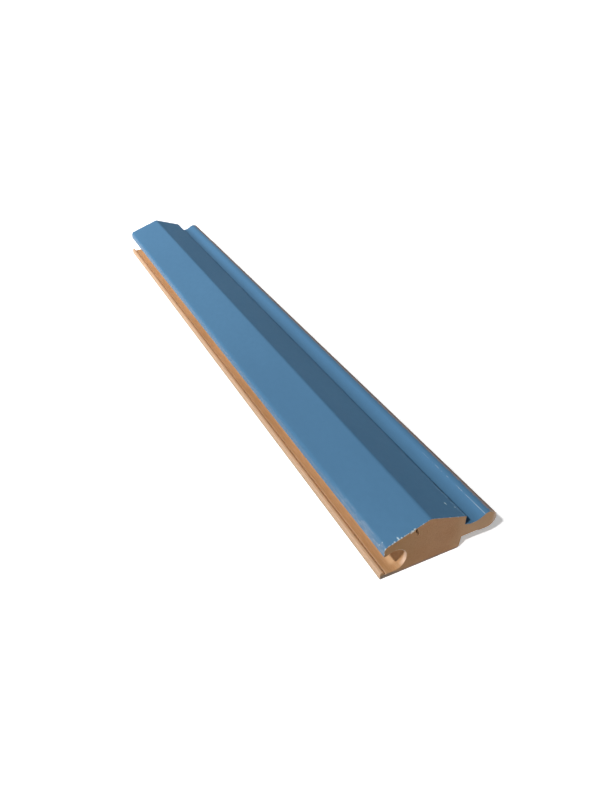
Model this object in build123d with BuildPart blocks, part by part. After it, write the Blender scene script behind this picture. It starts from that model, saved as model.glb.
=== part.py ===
"""A painted MDF batten with a grooved low edge and a rebated high edge, lying on its back face.

Sizes are in millimetres. The length runs along Y, and +Z points from the back face to the show
face. The origin is on the back face, in the middle of the overall width and length.

The batten is machined from one board, so it is one section run along its length. At -X a round
socket lies behind a narrow mouth, between a thin tongue on the back and a blunt lip on the front.
Two long slopes meet at a soft ridge. At +X a quirk and a cove thin the section to a neck, which
ends in a round nose and laps over a rebate in the back.
"""

import os
from math import sqrt

from build123d import *

# The whole piece, with the ridge's height taken before its rounding
length = 400.0
width = 60.0
ridge_height = 25.0

# The two slopes of the show face, measured from the tongue's outer face and from the back
ridge_offset = 23.3
ridge_radius = 3.0
slope_foot_height = 18.2
slope_foot_radius = 0.4

# The tongue on the back, and the round socket in front of it
tongue_height = 3.5
tongue_land = 1.7
tongue_batter = 0.5
tongue_radius = 0.3
tongue_root_radius = 0.7
socket_radius = 6.2
socket_floor = 1.9

# The lip that covers the socket
lip_setback = 1.15
lip_land = 1.45
lip_drop = 1.35
lip_face = 4.8
lip_radius = 2.5
lip_foot_radius = 0.3

# The rebate in the back, under the high edge
rebate_height = 6.4
rebate_depth = 18.5
rebate_lean = 0.8
rebate_root_radius = 0.4
heel_radius = 1.3

# The neck, with the quirk and the cove that thin it
neck_thickness = 6.0
quirk_setback = 0.9
quirk_rise = 1.0
cove_low_offset = 4.4

# The nose at the neck's end, with its pad and its crease measured back from its centre
nose_radius = 4.7
nose_drop = 0.55
nose_pad = 3.7
nose_pad_ramp = 1.6
crease_offset = 2.1

# Places that follow from those sizes, with x from the tongue's outer face
socket_z = socket_floor + socket_radius
lip_underside = socket_z + socket_radius - lip_drop
shoulder_height = lip_underside + lip_face
mouth_x = lip_setback + lip_land
socket_x = mouth_x + sqrt(socket_radius**2 - (lip_underside - socket_z) ** 2)

rebate_wall = width - rebate_depth
quirk_wall = rebate_wall + quirk_setback
neck_top = rebate_height + neck_thickness

nose_x = width - nose_radius
nose_z = rebate_height - nose_drop + nose_radius
crease_x = nose_x - crease_offset
crease_z = nose_z + sqrt(nose_radius**2 - crease_offset**2)
pad_end = nose_x - nose_pad

# Corners of the outline that are rounded afterwards
tongue_corner = (0, tongue_height)
tongue_inner_corner = (tongue_land, tongue_height)
tongue_root = (tongue_land + tongue_batter, socket_floor)
lip_foot = (lip_setback, lip_underside)
shoulder = (lip_setback, shoulder_height)
ridge = (ridge_offset, ridge_height)
slope_foot = (quirk_wall, slope_foot_height)
rebate_root = (rebate_wall, rebate_height)
heel = (rebate_wall - rebate_lean, 0)

rounded_corners = [
    (tongue_corner, tongue_radius),
    (tongue_inner_corner, tongue_radius),
    (tongue_root, tongue_root_radius),
    (lip_foot, lip_foot_radius),
    (shoulder, lip_radius),
    (ridge, ridge_radius),
    (slope_foot, slope_foot_radius),
    (rebate_root, rebate_root_radius),
    (heel, heel_radius),
]

section = Plane.XZ.shift_origin((-width / 2, 0, 0))

with BuildPart() as batten:
    with BuildSketch(section) as outline:
        with BuildLine():
            # Up the tongue, down its inner side and along the socket's floor
            tongue = Polyline(
                (0, 0),
                tongue_corner,
                tongue_inner_corner,
                tongue_root,
                (socket_x, socket_floor),
            )
            # Round the socket's wall, to the underside of the lip
            socket = ThreePointArc(
                tongue @ 1,
                (socket_x + socket_radius, socket_z),
                (mouth_x, lip_underside),
            )
            # Out and up the lip, over the ridge and down into the quirk
            show_face = Polyline(
                socket @ 1,
                lip_foot,
                shoulder,
                ridge,
                slope_foot,
                (quirk_wall, neck_top + quirk_rise),
            )
            # Along the cove to the crease, and round the nose to its underside
            cove = ThreePointArc(
                show_face @ 1,
                (quirk_wall + cove_low_offset, neck_top),
                (crease_x, crease_z),
            )
            nose = ThreePointArc(
                cove @ 1,
                (width, nose_z),
                (nose_x, nose_z - nose_radius),
            )
            # Back under the nose's pad and the neck, and down the rebate's wall
            Polyline(
                nose @ 1,
                (pad_end, nose_z - nose_radius),
                (pad_end - nose_pad_ramp, rebate_height),
                rebate_root,
                heel,
                (0, 0),
            )
        make_face()
        for corner, radius in rounded_corners:
            fillet(outline.vertices().sort_by_distance(corner)[0], radius)
    extrude(amount=length / 2, both=True)

batten.part.label = "batten"

os.makedirs("parts", exist_ok=True)
export_step(batten.part, "parts/batten.step")
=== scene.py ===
"""The look of the painted MDF batten: its machined and sawn faces, its paint film and its chipped ends.

The frame's own mesh gives the section. The piece built here follows it finely enough to carry real
chips, and keeps inside its box. Sizes are in millimetres, with x and z as in the frame. A depth is
counted inwards along the length, from the sawn end that it belongs to.
"""

import math
import random
from collections import Counter

import bpy
from mathutils import Matrix, Vector, geometry, kdtree, noise


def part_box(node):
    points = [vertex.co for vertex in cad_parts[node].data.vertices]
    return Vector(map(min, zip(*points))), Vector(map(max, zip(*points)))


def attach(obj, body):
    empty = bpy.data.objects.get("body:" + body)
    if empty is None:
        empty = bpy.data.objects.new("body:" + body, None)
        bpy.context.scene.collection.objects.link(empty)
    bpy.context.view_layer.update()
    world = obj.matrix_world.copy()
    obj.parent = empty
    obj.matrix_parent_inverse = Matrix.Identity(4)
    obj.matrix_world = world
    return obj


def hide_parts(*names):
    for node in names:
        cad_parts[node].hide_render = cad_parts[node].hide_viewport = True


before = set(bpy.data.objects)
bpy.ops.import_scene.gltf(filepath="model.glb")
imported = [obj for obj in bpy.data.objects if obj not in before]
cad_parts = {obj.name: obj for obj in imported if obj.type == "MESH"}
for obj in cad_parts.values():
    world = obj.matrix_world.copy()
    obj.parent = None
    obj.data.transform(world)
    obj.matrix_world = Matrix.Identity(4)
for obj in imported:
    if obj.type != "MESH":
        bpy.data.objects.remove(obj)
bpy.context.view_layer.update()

MM = 0.001
NODE = "batten"

box_low, box_high = (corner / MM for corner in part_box(NODE))
LEFT, RIGHT = box_low.x, box_high.x

# The paint runs over the front from the nose, this far back from its tip, to the foot of the lip
NOSE_EDGE = Vector((RIGHT - 4.3, 15.23))
LIP_FOOT = Vector((LEFT + 1.35, 12.95))

# How finely the section is divided, on the painted stretch and elsewhere
PAINTED_STEP = 0.16
BARE_STEP = 0.5

# A turn this sharp is a corner, and a chord this many times its neighbour is a straight stretch
CORNER_TURN = math.radians(12)
STRAIGHT_RATIO = 1.6

# How thick the overspray starts past each edge of the paint, and how far it takes to fade
LIP_OVERSPRAY, LIP_FADE = 0.45, 0.5
NOSE_OVERSPRAY, NOSE_FADE = 0.70, 4

# The ridge, where the two slopes meet, the short slope's foot, and the crease between cove and nose
RIDGE_X = LEFT + 23.3
FOOT_X = LEFT + 42.1
CREASE_X = RIGHT - 6.8

# The saw's planes stand this far inside the frame's box, as room for the marks that stand proud
SAW_ALLOWANCE = 0.02

# Depths at which the skin has a ring of points near each end, and the rings between
RING_DEPTHS = [
    0, 0.12, 0.25, 0.4, 0.55, 0.7, 0.9, 1.1, 1.35, 1.65, 2, 2.4, 2.8, 3.2, 3.5, 3.8, 4.1, 4.4, 4.8, 5.4,
    6, 6.3, 6.6, 6.9, 7.4, 8.2, 9.2, 9.5, 9.8, 10.1, 11, 14, 20,
]
MIDDLE_RINGS = 12

# Rows of points on an end face, counted in from the painted edge, with how far apart they are
EDGE_ROWS = [(0.18, 1), (0.38, 1), (0.62, 2), (0.92, 2), (1.3, 3), (1.8, 4)]

# How far apart the points lie over the rest of an end face and round a gash, and how far out they go
CAP_SPACING, CAP_REACH = 0.5, 40
GASH_SPACING, GASH_REACH = 0.17, 2.6

# The blade's centre, its marks in radians for each millimetre, and the sawn face's mean depth
BLADE_X, BLADE_Z = 10, -118
BLADE_PITCH = 2.4
SAWN_DEPTH = 0.06

# How far the saw tears the edge back: of the paint up to near the ridge, past there, and bare
LEFT_TEAR, RIGHT_TEAR, BARE_TEAR = 0.34, 0.14, 0.05

# A tear and a cut this deep show as fully worn
FULL_TEAR = 0.1
FULL_WEAR = 0.3

# The mesh's two materials, by their place in its list
SKIN, SAWN = 0, 1


# The section

def end_loop(mesh):
    """The outline of the mesh's near end, anticlockwise seen from outside."""
    points = [vertex.co / MM for vertex in mesh.vertices]
    near = min(point.y for point in points)

    def key(index):
        return round(points[index].x, 3), round(points[index].z, 3)

    edges = Counter()
    for face in mesh.polygons:
        if all(points[i].y - near < 0.001 for i in face.vertices):
            corners = [key(i) for i in face.vertices]
            for pair in zip(corners, corners[1:] + corners[:1]):
                edges[pair] += 1
    following = {a: b for a, b in edges if (b, a) not in edges}
    start = min(following, key=lambda corner: (corner[1], corner[0]))
    loop = [start]
    while following[loop[-1]] != start:
        loop.append(following[loop[-1]])
    return [Vector(corner) for corner in loop]


def tangents(loop):
    """The outline's direction before and after each point. The two differ only at a corner."""
    count = len(loop)
    chords = [loop[(i + 1) % count] - loop[i] for i in range(count)]
    before, after = [None] * count, [None] * count
    for i in range(count):
        back, ahead = chords[i - 1], chords[i]
        if abs(back.angle_signed(ahead)) > CORNER_TURN:
            continue
        if back.length > STRAIGHT_RATIO * ahead.length:
            tangent = back.normalized()
        elif ahead.length > STRAIGHT_RATIO * back.length:
            tangent = ahead.normalized()
        else:
            tangent = (back.normalized() + ahead.normalized()).normalized()
        before[i] = after[i] = tangent
    for i in range(count):
        chord = chords[i].normalized()
        j = (i + 1) % count
        if after[i] is None and before[j] is None:
            after[i] = before[j] = chord
        elif after[i] is None:
            after[i] = 2 * before[j].dot(chord) * chord - before[j]
        elif before[j] is None:
            before[j] = 2 * after[i].dot(chord) * chord - after[i]
    return before, after


def nearest(points, place):
    return min(range(len(points)), key=lambda i: (points[i] - place).length)


def fine_section(loop):
    """The outline with its round stretches filled in."""
    before, after = tangents(loop)
    count = len(loop)
    first, last = nearest(loop, NOSE_EDGE) - 1, nearest(loop, LIP_FOOT) + 1
    fine = []
    for i in range(count):
        start, end = loop[i], loop[(i + 1) % count]
        span = (end - start).length
        pieces = max(1, math.ceil(span / (PAINTED_STEP if first <= i <= last else BARE_STEP)))
        for k in range(pieces):
            t = k / pieces
            fine.append(
                (2 * t**3 - 3 * t**2 + 1) * start
                + (t**3 - 2 * t**2 + t) * span * after[i]
                + (3 * t**2 - 2 * t**3) * end
                + (t**3 - t**2) * span * before[(i + 1) % count]
            )
    return fine


section = fine_section(end_loop(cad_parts[NODE].data))
COUNT = len(section)
outwards = []
for i in range(COUNT):
    along = section[(i + 1) % COUNT] - section[i - 1]
    outwards.append(Vector((along.y, -along.x)).normalized())
PAINT_START, PAINT_END = nearest(section, NOSE_EDGE), nearest(section, LIP_FOOT)


def beyond_paint():
    """For each point of the section, its distance along the outline from the paint's edge."""
    past = [0.0] * COUNT
    run = 0.0
    for i in range(PAINT_END + 1, COUNT + PAINT_START):
        run += (section[i % COUNT] - section[(i - 1) % COUNT]).length
        past[i % COUNT] = run
    total = run + (section[PAINT_START] - section[PAINT_START - 1]).length
    for i in range(COUNT):
        if past[i]:
            to_nose = total - past[i]
            past[i] = past[i] if past[i] < to_nose else -to_nose
    return past


# Positive past the lip's foot, negative past the paint's edge on the nose
PAST_PAINT = beyond_paint()


def coat_at(i):
    """How much paint covers this point of the section: full, or the overspray past its edges."""
    past = PAST_PAINT[i]
    if past == 0:
        return 1.0
    if past > 0:
        return LIP_OVERSPRAY * math.exp(-past / LIP_FADE)
    return NOSE_OVERSPRAY * math.exp(past / NOSE_FADE)


# The chips and cuts: an ellipsoid's middle (x from the left face, depth, z) and its three radii along
# its own axes: across the section, along the length, and up. It leans in the section by the angle.

NEAR_CHIPS = [
    # Along the lip
    ((1.15, 4.30, 16.50), (0.22, 0.50, 0.35), 0),
    ((2.05, 3.65, 18.00), (0.34, 0.36, 0.24), 20),
    ((1.60, 0.10, 17.35), (0.32, 0.50, 0.65), -35),
    ((1.15, 0.10, 14.60), (0.25, 0.40, 0.40), 0),
    # Along the long slope's edge
    ((3.40, 0.00, 18.50), (0.60, 0.35, 0.22), 18),
    ((4.90, 0.00, 19.00), (0.55, 0.60, 0.25), 18),
    ((6.00, 0.20, 19.36), (0.40, 0.70, 0.22), 18),
    ((7.40, 0.00, 19.80), (0.40, 0.35, 0.25), 18),
    ((8.00, 1.00, 20.00), (0.42, 1.00, 0.22), 18),
    ((9.30, 0.20, 20.44), (0.50, 0.60, 0.25), 18),
    ((10.80, 0.00, 20.93), (0.50, 0.40, 0.28), 18),
    ((12.30, 0.00, 21.35), (0.70, 0.30, 0.30), 18),
    ((14.20, 0.00, 21.80), (1.30, 0.55, 0.80), 18),
    ((15.60, 0.00, 22.40), (0.50, 0.80, 0.50), 18),
    ((18.00, 0.00, 23.28), (0.35, 0.30, 0.20), 18),
    ((19.50, 0.00, 23.76), (0.50, 0.40, 0.22), 18),
    ((22.20, 0.00, 24.50), (0.45, 0.25, 0.25), 10),
    # Over the ridge
    ((27.60, 0.00, 23.50), (0.60, 0.30, 0.25), -20),
    ((33.40, 0.00, 21.40), (0.80, 0.30, 0.25), -20),
    ((37.90, 0.00, 19.80), (0.45, 0.40, 0.25), -20),
    # At the nose
    ((57.00, 0.00, 14.95), (1.70, 1.30, 0.60), -30),
    # Specks on the short slope
    ((37.80, 9.60, 19.85), (0.45, 0.60, 0.25), -20),
    ((41.00, 6.50, 18.72), (0.35, 0.40, 0.22), -20),
]

FAR_CHIPS = [
    ((1.30, 0.10, 17.00), (0.30, 0.50, 0.60), -30),
    ((4.20, 0.00, 18.80), (0.80, 0.35, 0.30), 17),
    ((10.10, 0.00, 20.75), (0.55, 0.50, 0.30), 17),
    ((17.60, 0.00, 23.15), (0.90, 0.40, 0.30), 17),
    ((26.30, 0.00, 24.10), (0.60, 0.40, 0.30), -15),
    ((35.00, 0.00, 20.85), (0.80, 0.45, 0.30), -20),
    ((41.80, 0.00, 18.30), (0.50, 0.40, 0.35), -20),
    ((54.40, 0.00, 15.20), (0.60, 0.35, 0.30), 0),
]

# The deep slanted break in the near end, below the edge of the long slope
NEAR_GASHES = [
    ((16.70, 0.00, 20.90), (0.60, 1.30, 1.25), 24),
    ((17.50, 0.00, 19.30), (0.42, 1.00, 1.15), 22),
]


class Chip:
    """A bite out of the surface, with a broken edge."""

    def __init__(self, middle, radii, lean):
        self.middle = Vector((middle[0] + LEFT, middle[1], middle[2]))
        self.radii = radii
        self.turn = Matrix.Rotation(math.radians(lean), 3, "Y")
        self.reach = 1.4 * max(radii)

    def inside(self, vector):
        turned = self.turn @ vector
        return Vector((turned[k] / self.radii[k] for k in range(3)))

    def cut(self, point, inward):
        """How far this point moves inward to leave the bite."""
        offset = point - self.middle
        if offset.length > self.reach:
            return 0.0
        start, way = self.inside(offset), self.inside(inward)
        start *= 1 + 0.35 * noise.noise(point * 2.3) + 0.2 * noise.noise(point * 6)
        a, b, c = way.length_squared, 2 * start.dot(way), start.length_squared - 1
        return (math.sqrt(b * b - 4 * a * c) - b) / (2 * a) if c < 0 else 0.0


# The body

def interior_points(seed, gashes):
    """Points over an end face, closest together along its painted edge and round a gash."""
    spread = random.Random(seed)
    outline = kdtree.KDTree(COUNT)
    for i, point in enumerate(section):
        outline.insert(point.to_3d(), i)
    outline.balance()
    taken = {}
    found = []

    def add(point, clear):
        cell = (math.floor(point.x), math.floor(point.y))
        near_cells = [taken.get((cell[0] + a, cell[1] + b), []) for a in (-1, 0, 1) for b in (-1, 0, 1)]
        if all((point - other).length > clear for cell_points in near_cells for other in cell_points):
            taken.setdefault(cell, []).append(point)
            found.append(point)

    def is_inside(point, margin):
        if outline.find(point.to_3d())[2] < margin:
            return False
        crossings = sum(
            (a.y > point.y) != (b.y > point.y)
            and point.x < a.x + (point.y - a.y) * (b.x - a.x) / (b.y - a.y)
            for a, b in zip(section, section[1:] + section[:1])
        )
        return crossings % 2 == 1

    for depth, step in EDGE_ROWS:
        for i in range(PAINT_START, PAINT_END + 1, step):
            point = section[i] - outwards[i] * depth
            if is_inside(point, 0.8 * depth):
                add(point, 0.6 * min(depth, PAINTED_STEP * step + 0.1))
    patches = [(gash[0][0] + LEFT, gash[0][2], GASH_REACH, GASH_SPACING) for gash in gashes]
    patches.append(((LEFT + RIGHT) / 2, 12, CAP_REACH, CAP_SPACING))
    for x, z, radius, spacing in patches:
        rows = math.ceil(radius / spacing)
        for row in range(-rows, rows + 1):
            for column in range(-rows, rows + 1):
                shift = Vector((column + row % 2 / 2, row * 0.866)) * spacing
                if shift.length > radius:
                    continue
                jitter = Vector((spread.uniform(-0.2, 0.2), spread.uniform(-0.2, 0.2))) * spacing
                point = Vector((x, z)) + shift + jitter
                if LEFT < point.x < RIGHT and 0 < point.y < box_high.z and is_inside(point, 0.7 * spacing):
                    add(point, 0.75 * spacing)
    return found


def saw_depth(x, z, seed):
    """How far the sawn face lies inside its plane, from the blade's marks and the torn fibres."""
    blade = math.hypot(x - BLADE_X, z - BLADE_Z) * BLADE_PITCH
    marks = 0.012 * math.sin(blade + 2 * noise.noise(Vector((x, z, seed)) * 0.15))
    fibres = 0.03 * noise.noise(Vector((x * 1.6, z * 1.6, seed)))
    coarse = 0.03 * noise.noise(Vector((x * 0.35, z * 0.35, seed)))
    return SAWN_DEPTH + marks + fibres + coarse


class Body:
    """The batten's mesh as lists, with what each point shows: paint, wear, the paint's cut edge."""

    def __init__(self):
        self.points, self.faces, self.materials = [], [], []
        self.coat, self.wear, self.rim = [], [], []

    def add_point(self, point, coat, wear, rim):
        self.points.append(point * MM)
        self.coat.append(coat)
        self.wear.append(wear)
        self.rim.append(rim)
        return len(self.points) - 1

    def add_face(self, corners, material):
        self.faces.append(corners)
        self.materials.append(material)


class End:
    """A sawn end: its plane, which way depth runs from it, its chips and gashes, and its seed."""

    def __init__(self, plane, way, chips, gashes, seed):
        self.plane = plane
        self.way = way
        self.chips = [Chip(*chip) for chip in chips + gashes]
        self.gashes = gashes
        self.seed = seed


NEAR = End(box_low.y + SAW_ALLOWANCE, 1, NEAR_CHIPS, NEAR_GASHES, 3)
FAR = End(box_high.y - SAW_ALLOWANCE, -1, FAR_CHIPS, [], 8)


def worn_point(end, flat, depth, inward):
    """A point of the batten after its end's chips, with how deeply it has been cut.

    The inward direction is given with its second part along the depth.
    """
    place = Vector((flat.x, depth, flat.y))
    worn = 0.0
    for chip in end.chips:
        if abs(depth - chip.middle.y) > chip.reach:
            continue
        cut = chip.cut(place, inward)
        if cut > 0:
            place += inward * cut
            worn = max(worn, min(1.0, cut / FULL_WEAR))
    return Vector((place.x, end.plane + end.way * place.y, place.z)), worn


def nibble(i, seed):
    """How far the saw has torn the edge back here, along the length."""
    x, z = section[i]
    torn = noise.noise(Vector((x * 0.9, z * 0.9, seed))) + 0.6 * noise.noise(Vector((x * 3, z * 3, seed)))
    if coat_at(i) < 1:
        return max(0.0, BARE_TEAR * torn)
    return max(0.0, (LEFT_TEAR if x < RIDGE_X - 5 else RIGHT_TEAR) * torn)


def add_ring(body, end, depth):
    """Adds the skin's points at this depth from an end. The first ring is the end's torn edge."""
    ring = []
    for i, (flat, outward) in enumerate(zip(section, outwards)):
        inward = Vector((-outward.x, 0, -outward.y))
        place, torn, rim = depth, 0.0, 0.0
        if depth == 0:
            inward = (inward + Vector((0, 1, 0))).normalized()
            place = nibble(i, end.seed) + saw_depth(flat.x, flat.y, end.seed)
            torn = min(1.0, nibble(i, end.seed) / FULL_TEAR)
            rim = 1.0
        elif depth < 1:
            edge = depth * 0.5 + nibble(i, end.seed) + saw_depth(flat.x, flat.y, end.seed)
            place = max(depth, edge + 0.03)
        point, worn = worn_point(end, flat, place, inward)
        ring.append(body.add_point(point, coat_at(i), max(worn, torn), rim))
    return ring


def build_body():
    """The whole batten: its skin, ring by ring, and its two sawn faces."""
    body = Body()
    depths = [(NEAR, depth) for depth in RING_DEPTHS]
    whole = box_high.y - box_low.y - 2 * SAW_ALLOWANCE
    reach = RING_DEPTHS[-1]
    for k in range(1, MIDDLE_RINGS + 1):
        depths.append((NEAR, reach + (whole - 2 * reach) * k / (MIDDLE_RINGS + 1)))
    depths += [(FAR, depth) for depth in reversed(RING_DEPTHS)]
    rings = [add_ring(body, end, depth) for end, depth in depths]
    for ring, following in zip(rings, rings[1:]):
        for i in range(COUNT):
            j = (i + 1) % COUNT
            body.add_face((ring[i], following[i], following[j], ring[j]), SKIN)
    add_cap(body, NEAR, rings[0])
    add_cap(body, FAR, rings[-1])
    return body


def add_cap(body, end, ring):
    """Closes an end with its sawn face."""
    inner = interior_points(end.seed, end.gashes)
    flat = [Vector((body.points[v].x, body.points[v].z)) / MM for v in ring]
    result = geometry.delaunay_2d_cdt(flat + inner, [], [list(range(COUNT))], 1, 1e-6, True)
    spots, triangles, sources, owners = result[0], result[2], result[3], result[5]
    indices = []
    for spot, source in zip(spots, sources):
        rim_source = [s for s in source if s < COUNT]
        if rim_source:
            indices.append(ring[rim_source[0]])
            continue
        depth = saw_depth(spot.x, spot.y, end.seed)
        point, worn = worn_point(end, spot, depth, Vector((0, 1, 0)))
        indices.append(body.add_point(point, 0.0, worn, 0.0))
    for triangle, owner in zip(triangles, owners):
        corners = [indices[v] for v in triangle]
        if owner and len(set(corners)) == 3:
            body.add_face(corners if end.way > 0 else corners[::-1], SAWN)


body = build_body()
mesh = bpy.data.meshes.new("batten_stock")
mesh.from_pydata(body.points, [], body.faces)
mesh.polygons.foreach_set("material_index", body.materials)
for name, values in (("coat", body.coat), ("wear", body.wear), ("rim", body.rim)):
    mesh.attributes.new(name, "FLOAT", "POINT").data.foreach_set("value", values)
mesh.polygons.foreach_set("use_smooth", [True] * len(mesh.polygons))
mesh.set_sharp_from_angle(angle=math.radians(32))
mesh.validate()
mesh.update()
stock = bpy.data.objects.new("batten_stock", mesh)
bpy.context.scene.collection.objects.link(stock)
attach(stock, "root")
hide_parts(NODE)


# Materials

class Shader:
    """A node material, with short calls for the nodes used here. Sizes are in millimetres."""

    def __init__(self, name):
        self.material = bpy.data.materials.new(name)
        self.material.use_nodes = True
        self.tree = self.material.node_tree
        self.surface = self.tree.nodes["Principled BSDF"]
        self.place = self.tree.nodes.new("ShaderNodeTexCoord").outputs["Object"]

    def node(self, kind, operation=None, **inputs):
        made = self.tree.nodes.new(kind)
        if operation:
            made.operation = operation
        for key, value in inputs.items():
            socket = made.inputs[int(key[1:])] if key[1:].isdigit() else made.inputs[key.replace("_", " ")]
            if isinstance(value, bpy.types.NodeSocket):
                self.tree.links.new(value, socket)
            else:
                socket.default_value = value
        return made

    def math(self, operation, *values, clamp=False):
        made = self.node("ShaderNodeMath", operation, **{f"i{k}": value for k, value in enumerate(values)})
        made.use_clamp = clamp
        return made.outputs[0]

    def product(self, first, second, clamp=False):
        return self.math("MULTIPLY", first, second, clamp=clamp)

    def grain(self, size, stretch=(1, 1, 1), detail=2.0, shift=0.0):
        """Noise from 0 to 1 with spots of this size, drawn out along each axis by the stretch."""
        scale = [1 / (MM * size * s) for s in stretch]
        shifts = (shift,) * 3
        spread = self.node("ShaderNodeVectorMath", "MULTIPLY_ADD", i0=self.place, i1=scale, i2=shifts)
        made = self.node("ShaderNodeTexNoise", Vector=spread.outputs[0], Scale=1.0, Detail=detail)
        return made.outputs["Fac"]

    def ramp(self, value, low, high):
        """The value's range from low to high, as 0 to 1."""
        made = self.node("ShaderNodeMapRange", Value=value, From_Min=low, From_Max=high)
        made.interpolation_type = "SMOOTHSTEP"
        return made.outputs["Result"]

    def attribute(self, name):
        made = self.node("ShaderNodeAttribute")
        made.attribute_name = name
        return made.outputs["Fac"]

    def axis(self, name):
        """The place along one axis, in millimetres."""
        split = self.node("ShaderNodeSeparateXYZ", Vector=self.place)
        return self.math("MULTIPLY", split.outputs[name], 1 / MM)

    def mix(self, factor, first, second):
        """A colour between two others."""
        made = self.tree.nodes.new("ShaderNodeMix")
        made.data_type = "RGBA"
        for socket, value in ((made.inputs[0], factor), (made.inputs[6], first), (made.inputs[7], second)):
            if isinstance(value, bpy.types.NodeSocket):
                self.tree.links.new(value, socket)
            else:
                socket.default_value = value if isinstance(value, float) else (*value, 1)
        return made.outputs[2]

    def finish(self, color, roughness, height, relief):
        """Joins the colour, the roughness and a relief of so many millimetres to the surface."""
        links = self.tree.links
        links.new(color, self.surface.inputs["Base Color"])
        links.new(roughness, self.surface.inputs["Roughness"])
        bump = self.node("ShaderNodeBump", Height=height, Distance=relief * MM, Strength=1.0)
        links.new(bump.outputs["Normal"], self.surface.inputs["Normal"])


def machined_fibre(shader):
    """The colour and streaks of MDF cut along its length: pale, with fine drawn-out fibres."""
    cloud = shader.ramp(shader.grain(9, (1, 5, 1), 3), 0.3, 0.7)
    streak = shader.ramp(shader.grain(0.5, (1, 14, 1), 2, 4.0), 0.35, 0.7)
    fleck = shader.ramp(shader.grain(0.22, (1, 3, 1), 1, 9.0), 0.62, 0.75)
    color = shader.mix(cloud, (0.42, 0.225, 0.098), (0.49, 0.272, 0.128))
    color = shader.mix(shader.product(streak, 0.35), color, (0.60, 0.385, 0.22))
    color = shader.mix(shader.product(fleck, 0.5), color, (0.36, 0.19, 0.09))
    return color, streak


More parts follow.
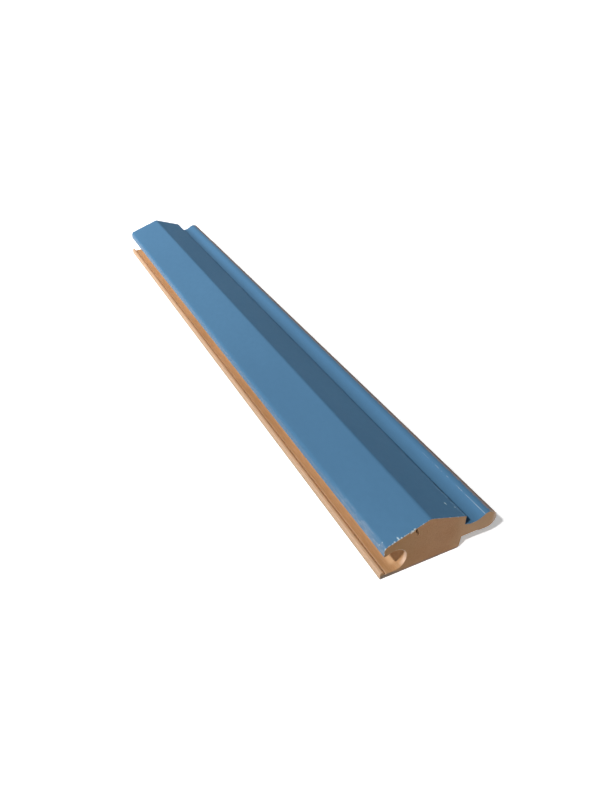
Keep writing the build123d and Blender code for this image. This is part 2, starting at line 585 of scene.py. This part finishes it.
def painted_skin():
    """The whole skin: paint over the front, its edges and chips, and machined MDF elsewhere."""
    shader = Shader("painted_mdf_skin")
    bare, streak = machined_fibre(shader)
    # The tongue's outer face and top are painted paler: painted light, for the strong light from the left
    x = shader.axis("X")
    outer = shader.ramp(x, LEFT + 1.8, LEFT + 0.5)
    bare = shader.mix(shader.product(outer, 0.7), bare, (0.69, 0.485, 0.335))
    # The tongue's root is painted pale: painted light that lifts the shadow line beside the tongue
    root = shader.product(shader.ramp(x, LEFT + 3.6, LEFT + 2.6), shader.ramp(x, LEFT + 1.5, LEFT + 1.7))
    bare = shader.mix(shader.product(root, 0.95), bare, (0.90, 0.63, 0.41))
    # The tongue's outer face is darker towards its foot
    tongue_foot_dark = shader.product(shader.ramp(shader.axis("Z"), 1.5, 0.2), shader.ramp(x, LEFT + 1, LEFT + 0.3))
    bare = shader.mix(shader.product(tongue_foot_dark, 0.6), bare, (0.30, 0.25, 0.18))
    # The socket's inner wall, away from the cuts, is painted paler than the groove's floor: painted light that
    # lifts the shadow there
    from_end = shader.math("SUBTRACT", box_high.y, shader.math("ABSOLUTE", shader.axis("Y")))
    wall = shader.product(shader.ramp(x, LEFT + 6, LEFT + 8.5), shader.ramp(x, LEFT + 14.4, LEFT + 14))
    wall = shader.product(wall, shader.ramp(from_end, 2.5, 5))
    bare = shader.mix(shader.product(wall, 0.8), bare, (0.66, 0.42, 0.23))
    # The nose's outer side is painted darker where the overspray thins out: painted shade on the side turned
    # from the light
    side = shader.ramp(x, RIGHT - 4, RIGHT - 2)
    bare = shader.mix(shader.product(side, 0.55), bare, (0.20, 0.15, 0.13))
    # The socket's wall by each cut is painted pale: painted light where the lamp reaches in through the open
    # end
    painted_crescent_light = shader.product(shader.ramp(from_end, 2.8, 1.0), shader.ramp(x, LEFT + 9.5, LEFT + 12.3))
    painted_crescent_light = shader.product(painted_crescent_light, shader.ramp(x, LEFT + 13.5, LEFT + 12.9))
    bare = shader.mix(shader.product(painted_crescent_light, 0.85), bare, (0.82, 0.61, 0.46))

    tone = shader.ramp(shader.grain(30, (1, 4, 1), 3, 2.0), 0.3, 0.7)
    mottle = shader.ramp(shader.grain(2.5, (1, 1.5, 1), 3, 7.0), 0.3, 0.7)
    paint = shader.mix(tone, (0.075, 0.192, 0.334), (0.082, 0.208, 0.358))
    paint = shader.mix(shader.product(mottle, 0.25), paint, (0.070, 0.177, 0.307))
    # The lip is scuffed paler near the near end
    y = shader.axis("Y")
    rubbing = shader.ramp(shader.grain(1.6, (1, 2.5, 1), 3, 13.0), 0.42, 0.62)
    lip = shader.product(shader.ramp(x, LEFT + 2.6, LEFT + 1.5), shader.ramp(y, box_low.y + 60, box_low.y + 8))
    scuff = shader.product(lip, shader.math("MULTIPLY_ADD", rubbing, 0.22, 0.08))
    paint = shader.mix(scuff, paint, (0.42, 0.44, 0.48))
    # The paint has dried in lumps along the short slope's foot, near the near end, and the lumps are painted
    # paler: a painted highlight on that edge
    off_foot = shader.math("ABSOLUTE", shader.math("SUBTRACT", x, FOOT_X))
    lumps_and_highlight = shader.product(shader.ramp(off_foot, 1.1, 0.3), shader.ramp(y, box_low.y + 42, box_low.y + 12))
    lumps_and_highlight = shader.product(lumps_and_highlight, shader.ramp(shader.grain(1.3, (1, 1.6, 1), 2, 17.0), 0.45, 0.60))
    paint = shader.mix(shader.product(lumps_and_highlight, 0.5), paint, (0.16, 0.30, 0.42))

    # The overspray thins out in dots past the paint's edge
    coat = shader.attribute("coat")
    dots = shader.math("SUBTRACT", shader.grain(0.35, (1, 2, 1), 3, 5.0), 0.5)
    covered = shader.ramp(shader.math("ADD", coat, dots), 0.30, 0.80)
    color = shader.mix(covered, bare, paint)

    # A chip shows the pale filler at its edge and the fibre in its middle
    wear = shader.attribute("wear")
    ragged = shader.math("ADD", wear, shader.product(dots, 0.25))
    filler = shader.ramp(ragged, 0.12, 0.35)
    fibre = shader.ramp(ragged, 0.7, 1.15)
    color = shader.mix(shader.product(filler, shader.ramp(coat, 0.5, 0.9)), color, (0.42, 0.56, 0.64))
    color = shader.mix(shader.product(fibre, 0.7), color, (0.64, 0.56, 0.46))

    # A pale line is painted along the crease near the near end: a painted glint where the cove catches the key
    off_crease = shader.math("ABSOLUTE", shader.math("SUBTRACT", x, CREASE_X))
    dashes = shader.ramp(shader.grain(1.2, (0.5, 2.5, 1), 3, 11.0), 0.47, 0.60)
    dashes = shader.product(dashes, shader.ramp(y, box_low.y + 60, box_low.y + 20))
    solid = shader.ramp(y, box_low.y + 15, box_low.y + 5)
    glint_reach = shader.math("MAXIMUM", shader.product(dashes, 0.8), solid)
    painted_glint = shader.product(shader.ramp(off_crease, 0.11, 0.02), glint_reach)
    color = shader.mix(shader.product(painted_glint, 0.85), color, (0.60, 0.70, 0.72))

    film = shader.product(covered, shader.math("SUBTRACT", 1.0, filler), clamp=True)
    shader.surface.inputs["Specular IOR Level"].default_value = 0.2
    sheen = shader.math("MULTIPLY_ADD", mottle, 0.02, 0.40)
    roughness = shader.node("ShaderNodeMix", i0=film, i2=0.82)
    shader.tree.links.new(sheen, roughness.inputs[3])
    peel = shader.product(shader.grain(0.7, (1, 1.2, 1), 2, 3.0), 0.3)
    peel = shader.math("MULTIPLY_ADD", lumps_and_highlight, 9, peel)
    fuzz = shader.math("ADD", shader.grain(0.18, (1, 3, 1), 2, 1.0), shader.product(streak, 0.4))
    height = shader.node("ShaderNodeMix", i0=film)
    shader.tree.links.new(fuzz, height.inputs[2])
    shader.tree.links.new(peel, height.inputs[3])
    shader.finish(color, roughness.outputs[0], height.outputs[0], 0.03)
    return shader.material


def sawn_end():
    """The sawn ends: browner and rougher, darker at the hard back face, with the paint's cut edge."""
    shader = Shader("sawn_mdf_end")
    x, z = shader.axis("X"), shader.axis("Z")
    patch = shader.ramp(shader.grain(7, (1.4, 1, 1), 3, 1.0), 0.3, 0.7)
    clump = shader.ramp(shader.grain(1.1, (1.5, 1, 1), 3, 3.0), 0.3, 0.72)
    fibre = shader.ramp(shader.grain(0.28, (2.0, 1, 1), 2, 5.0), 0.35, 0.7)
    pit = shader.ramp(shader.grain(0.35, (1.3, 1, 1), 1, 8.0), 0.64, 0.76)
    color = shader.mix(patch, (0.432, 0.208, 0.087), (0.470, 0.244, 0.116))
    color = shader.mix(shader.product(clump, 0.30), color, (0.53, 0.295, 0.155))
    color = shader.mix(shader.product(fibre, 0.22), color, (0.58, 0.36, 0.215))
    color = shader.mix(shader.product(pit, 0.55), color, (0.25, 0.14, 0.07))
    # Olive towards the left, and paler towards the right
    left = shader.ramp(x, 0, LEFT)
    color = shader.mix(shader.product(left, 0.60), color, (0.37, 0.215, 0.088))
    right = shader.ramp(x, 2, 16)
    color = shader.mix(shader.product(right, 0.6), color, (0.575, 0.375, 0.220))
    # The nose's outer corner is rubbed pale
    corner = shader.ramp(x, RIGHT - 2.4, RIGHT - 0.4)
    color = shader.mix(shader.product(corner, 0.6), color, (0.66, 0.58, 0.52))
    # The board's hard face along the back
    uneven = shader.product(shader.grain(3, (2, 1, 1), 2, 6.0), 1.4)
    height_here = shader.math("MULTIPLY_ADD", shader.ramp(x, LEFT + 12, LEFT + 3), -1.1, z)
    back = shader.ramp(shader.math("ADD", height_here, uneven), 2.1, 0.9)
    color = shader.mix(shader.product(back, 0.75), color, (0.215, 0.185, 0.160))
    # The paint's cut edge, and the pale fibres on the socket's upper edge
    rim = shader.ramp(shader.attribute("rim"), 0.35, 0.9)
    edge = shader.ramp(shader.attribute("coat"), 0.35, 0.9)
    color = shader.mix(shader.product(shader.product(rim, edge), 0.6), color, (0.42, 0.47, 0.52))
    socket = shader.product(shader.ramp(x, LEFT + 5, LEFT + 9), shader.ramp(x, LEFT + 15, LEFT + 14.5))
    socket = shader.product(socket, shader.ramp(shader.math("ADD", z, uneven), 9, 11))
    color = shader.mix(shader.product(shader.product(rim, socket), 0.8), color, (0.80, 0.62, 0.46))
    # The gash is painted dark inside, as painted shade in its hollow, and a chip shows pale fibre
    wear = shader.attribute("wear")
    off_gash = shader.math("ABSOLUTE", shader.math("SUBTRACT", x, LEFT + 17))
    gash_shade_and_fibre = shader.mix(shader.ramp(off_gash, 2.2, 3.2), (0.20, 0.115, 0.055), (0.56, 0.46, 0.36))
    color = shader.mix(shader.product(wear, 0.6), color, gash_shade_and_fibre)
    roughness = shader.math("MULTIPLY_ADD", clump, 0.08, 0.84)
    height = shader.math("ADD", shader.product(clump, 0.8), fibre)
    shader.finish(color, roughness, shader.math("SUBTRACT", height, pit), 0.05)
    return shader.material


for material in (painted_skin(), sawn_end()):
    mesh.materials.append(material)


# The floor, which shows white to the camera and keeps the batten's shadow

def add_floor():
    reach = 20
    floor_mesh = bpy.data.meshes.new("studio_floor")
    corners = [(-reach, -reach, 0), (reach, -reach, 0), (reach, reach, 0), (-reach, reach, 0)]
    floor_mesh.from_pydata(corners, [], [(0, 1, 2, 3)])
    floor = bpy.data.objects.new("studio_floor", floor_mesh)
    floor.location.z = -0.00002
    bpy.context.scene.collection.objects.link(floor)
    shader = Shader("studio_floor")
    path = shader.node("ShaderNodeLightPath")
    direct = shader.math("MAXIMUM", path.outputs["Is Camera Ray"], path.outputs["Is Transmission Ray"])
    seen = shader.math("MAXIMUM", direct, path.outputs["Is Glossy Ray"])
    color = shader.mix(seen, (0.8, 0.8, 0.8), (0.97, 0.97, 0.97))
    diffuse = shader.node("ShaderNodeBsdfDiffuse", Color=color)
    strength = shader.math("MULTIPLY_ADD", direct, 0.3, shader.product(seen, 0.1))
    glow = shader.node("ShaderNodeEmission", Color=(1, 1, 1, 1), Strength=strength)
    both = shader.node("ShaderNodeAddShader", i0=diffuse.outputs[0], i1=glow.outputs[0])
    output = shader.tree.nodes["Material Output"]
    shader.tree.nodes.remove(shader.surface)
    shader.tree.links.new(both.outputs[0], output.inputs["Surface"])
    floor_mesh.materials.append(shader.material)


add_floor()


# Light: a key high on the left, a weaker lamp lower there, two by the far end, and a dim sky

def add_sun(name, towards, strength, spread):
    lamp = bpy.data.lights.new(name, "SUN")
    lamp.energy = strength * math.pi
    lamp.angle = math.radians(spread)
    holder = bpy.data.objects.new(name, lamp)
    holder.rotation_euler = Vector(towards).to_track_quat("Z", "Y").to_euler()
    bpy.context.scene.collection.objects.link(holder)


add_sun("key", (-0.61, -0.25, 0.752), 0.83, 4)
add_sun("fill", (-0.88, 0, 0.47), 0.12, 15)
add_sun("sheen", (0, 0.75, 0.66), 0.06, 45)


def add_softbox(place, aim, power, size):
    """A diffuser near the far end, too dull to show in the paint."""
    lamp = bpy.data.lights.new("softbox", "AREA")
    lamp.energy = power
    lamp.size = size
    holder = bpy.data.objects.new("softbox", lamp)
    holder.visible_glossy = False
    holder.location = place
    holder.rotation_euler = (Vector(place) - Vector(aim)).to_track_quat("Z", "Y").to_euler()
    bpy.context.scene.collection.objects.link(holder)


add_softbox((-0.26, 0.356, 0.244), (0, 0.2, 0.02), 0.85, 0.15)

# The sky's strength as light, and in the paint
SKY_LIGHT = 0.03
SKY_IN_PAINT = 0.04


def add_world():
    """A dim sky, which shows white behind the floor and faintly in the paint."""
    world = bpy.data.worlds.new("studio")
    world.use_nodes = True
    tree = world.node_tree
    path = tree.nodes.new("ShaderNodeLightPath")
    seen = tree.nodes.new("ShaderNodeMath")
    seen.operation = "MAXIMUM"
    tree.links.new(path.outputs["Is Camera Ray"], seen.inputs[0])
    tree.links.new(path.outputs["Is Transmission Ray"], seen.inputs[1])
    glossy = tree.nodes.new("ShaderNodeMath")
    glossy.operation = "MULTIPLY_ADD"
    tree.links.new(path.outputs["Is Glossy Ray"], glossy.inputs[0])
    glossy.inputs[1].default_value = SKY_IN_PAINT
    tree.links.new(seen.outputs[0], glossy.inputs[2])
    strength = tree.nodes.new("ShaderNodeMath")
    strength.operation = "MAXIMUM"
    strength.inputs[0].default_value = SKY_LIGHT
    tree.links.new(glossy.outputs[0], strength.inputs[1])
    tree.links.new(strength.outputs[0], tree.nodes["Background"].inputs["Strength"])
    tree.nodes["Background"].inputs["Color"].default_value = (1, 1, 1, 1)
    bpy.context.scene.world = world


add_world()


# The camera, fitted to the photograph's edges

EYE = Vector((-142.549, -356.643, 223.979))
AZIMUTH, ELEVATION, ROLL = (math.radians(a) for a in (-25.910, 34.649, -0.656))
FOCAL_PIXELS = 673.15
PHOTO_HEIGHT = 800


def add_camera():
    sin_az, cos_az = math.sin(AZIMUTH), math.cos(AZIMUTH)
    forward = Vector((-sin_az * math.cos(ELEVATION), cos_az * math.cos(ELEVATION), -math.sin(ELEVATION)))
    level = Vector((cos_az, sin_az, 0))
    upright = level.cross(forward)
    right = level * math.cos(ROLL) + upright * math.sin(ROLL)
    up = upright * math.cos(ROLL) - level * math.sin(ROLL)
    camera = bpy.data.cameras.new("camera")
    camera.sensor_width = 36
    camera.lens = FOCAL_PIXELS * camera.sensor_width / PHOTO_HEIGHT
    camera.clip_start = 0.01
    camera.clip_end = 50
    holder = bpy.data.objects.new("camera", camera)
    axes = Matrix((right, up, -forward)).transposed()
    holder.matrix_world = Matrix.Translation(EYE * MM) @ axes.to_4x4()
    bpy.context.scene.collection.objects.link(holder)
    bpy.context.scene.camera = holder


add_camera()
bpy.context.scene.view_settings.view_transform = "Standard"
